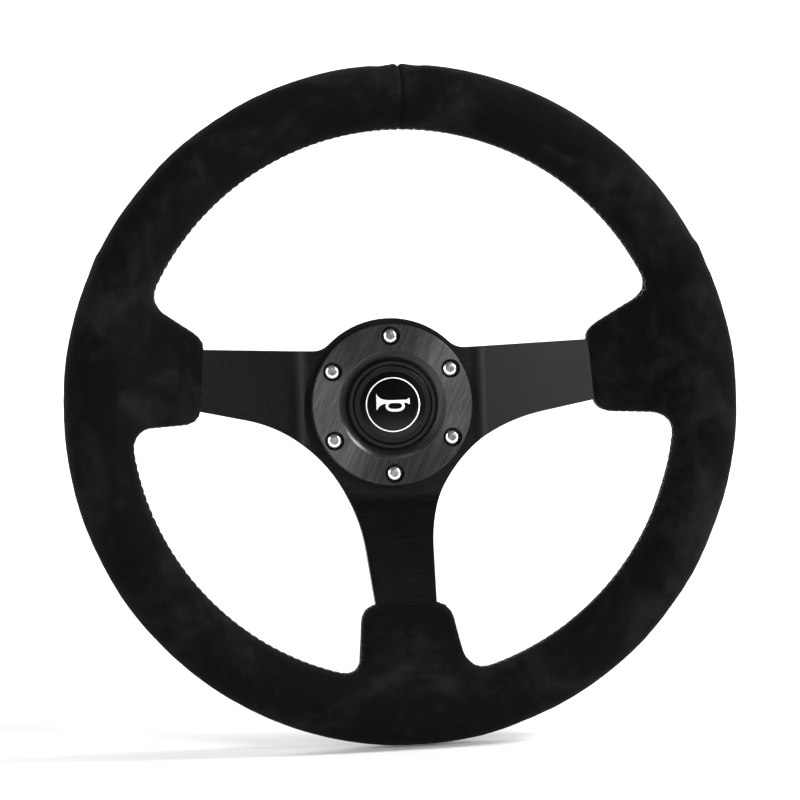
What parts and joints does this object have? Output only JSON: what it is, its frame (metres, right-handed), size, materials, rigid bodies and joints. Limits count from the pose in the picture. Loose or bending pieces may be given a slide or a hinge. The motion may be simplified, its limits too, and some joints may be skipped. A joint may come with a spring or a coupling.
{
  "type": "quick release steering wheel",
  "caption": "Dished three-spoke steering wheel with a suede grip, a horn push and a ball-lock quick release that bolts to the steering column.",
  "frame": {"origin": "centre of the quick release base's mounting face on the steering column", "axes": "+Y down the steering column, away from the driver; +Z the wheel's 12 o'clock; +X to the driver's right"},
  "size_m": [0.35, 0.126, 0.35],
  "materials": {
    "anodised": "black brushed and anodised aluminium",
    "core": "bare",
    "foam": "polyurethane foam",
    "suede": "black suede, napped",
    "chrome": "polished",
    "black_plastic": "satin",
    "gloss_black": "polished",
    "spring_steel": "bright",
    "insulator": "natural acetal",
    "brass": "bare",
    "hub_black": "black anodised, turned",
    "collar_metal": "clear anodised, turned",
    "ball_steel": "polished hardened steel"
  },
  "bodies": {
    "wheel": {"spoke_frame": "anodised", "rim_core": "core", "core_rivets": "core", "rim_padding": "foam", "rim_cover": "suede", "horn_ring": "anodised", "ring_screws": "chrome", "horn_housing": "black_plastic", "horn_spring": "spring_steel", "horn_base": "insulator", "live_contact": "brass", "earth_contact": "brass", "release_hub": "hub_black", "collar_spring": "spring_steel", "retaining_ring": "spring_steel", "release_base": "hub_black", "pin_insulator": "insulator", "pin_spring": "spring_steel", "pin_terminal": "brass"},
    "horn_push": {"horn_cap": "gloss_black", "emblem_dome": "gloss_black", "horn_contact_plate": "spring_steel"},
    "collar": {"lock_collar": "collar_metal"},
    "pin": {"contact_pin": "brass"},
    "ball_1": {"lock_ball_1": "ball_steel"},
    "ball_2": {"lock_ball_2": "ball_steel"},
    "ball_3": {"lock_ball_3": "ball_steel"},
    "ball_4": {"lock_ball_4": "ball_steel"},
    "ball_5": {"lock_ball_5": "ball_steel"},
    "ball_6": {"lock_ball_6": "ball_steel"},
    "ball_7": {"lock_ball_7": "ball_steel"},
    "ball_8": {"lock_ball_8": "ball_steel"}
  },
  "joints": [
    {"name": "horn_press", "type": "slide", "parent": "wheel", "child": "horn_push", "axis": [0, 1, 0], "range_m": [0, 0.0024], "stiffness_N_per_m": 2500, "springref_m": -0.0015, "deforming": ["horn_spring"]},
    {"name": "collar_slide", "type": "slide", "parent": "wheel", "child": "collar", "axis": [0, -1, 0], "range_m": [0, 0.006], "stiffness_N_per_m": 1500, "springref_m": -0.004, "deforming": ["collar_spring"]},
    {"name": "pin_slide", "type": "slide", "parent": "wheel", "child": "pin", "axis": [0, 1, 0], "range_m": [0, 0.0012], "stiffness_N_per_m": 600, "springref_m": -0.0015, "deforming": ["pin_spring"]},
    {"name": "ball_1_lift", "type": "slide", "parent": "wheel", "child": "ball_1", "axis": [0, 0, 1], "range_m": [0, 0.0018]},
    {"name": "ball_2_lift", "type": "slide", "parent": "wheel", "child": "ball_2", "axis": [-0.7071, 0, 0.7071], "range_m": [0, 0.0018]},
    {"name": "ball_3_lift", "type": "slide", "parent": "wheel", "child": "ball_3", "axis": [-1, 0, 0], "range_m": [0, 0.0018]},
    {"name": "ball_4_lift", "type": "slide", "parent": "wheel", "child": "ball_4", "axis": [-0.7071, 0, -0.7071], "range_m": [0, 0.0018]},
    {"name": "ball_5_lift", "type": "slide", "parent": "wheel", "child": "ball_5", "axis": [0, 0, -1], "range_m": [0, 0.0018]},
    {"name": "ball_6_lift", "type": "slide", "parent": "wheel", "child": "ball_6", "axis": [0.7071, 0, -0.7071], "range_m": [0, 0.0018]},
    {"name": "ball_7_lift", "type": "slide", "parent": "wheel", "child": "ball_7", "axis": [1, 0, 0], "range_m": [0, 0.0018]},
    {"name": "ball_8_lift", "type": "slide", "parent": "wheel", "child": "ball_8", "axis": [0.7071, 0, 0.7071], "range_m": [0, 0.0018]}
  ],
  "couplings": [
    {"joint": "ball_1_lift", "follows": "collar_slide", "ratio": 0.3},
    {"joint": "ball_2_lift", "follows": "collar_slide", "ratio": 0.3},
    {"joint": "ball_3_lift", "follows": "collar_slide", "ratio": 0.3},
    {"joint": "ball_4_lift", "follows": "collar_slide", "ratio": 0.3},
    {"joint": "ball_5_lift", "follows": "collar_slide", "ratio": 0.3},
    {"joint": "ball_6_lift", "follows": "collar_slide", "ratio": 0.3},
    {"joint": "ball_7_lift", "follows": "collar_slide", "ratio": 0.3},
    {"joint": "ball_8_lift", "follows": "collar_slide", "ratio": 0.3}
  ]
}
